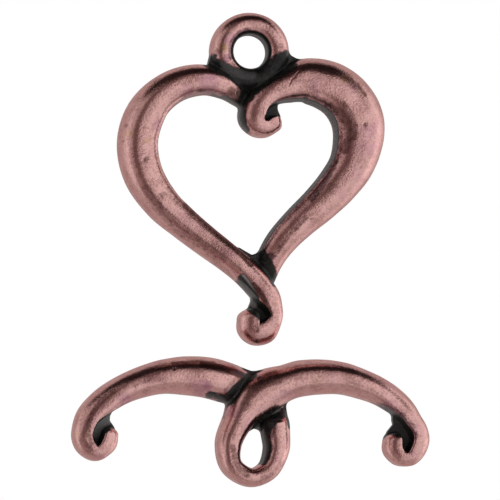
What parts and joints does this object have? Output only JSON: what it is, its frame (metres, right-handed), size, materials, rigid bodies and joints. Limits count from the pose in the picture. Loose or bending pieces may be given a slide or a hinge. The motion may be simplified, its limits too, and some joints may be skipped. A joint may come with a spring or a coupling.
{
  "type": "heart toggle clasp with its toggle bar",
  "caption": "Antique copper toggle clasp: a scrolled heart-shaped ring with an eyelet, and a curled toggle bar with a loop in its middle.",
  "frame": {"origin": "centre of the layout's outline, in the plane of the flat backs", "axes": "+X to the right along the bar, +Y from the bar up through the heart to its eyelet, +Z out of the decorated faces"},
  "size_m": [0.0238, 0.0317, 0.0028],
  "materials": {
    "copper": "antique copper plate, satin on the crowns, with dark patina in the recesses"
  },
  "bodies": {
    "root": {"heart_ring": "copper", "toggle_bar": "copper"}
  },
  "joints": []
}
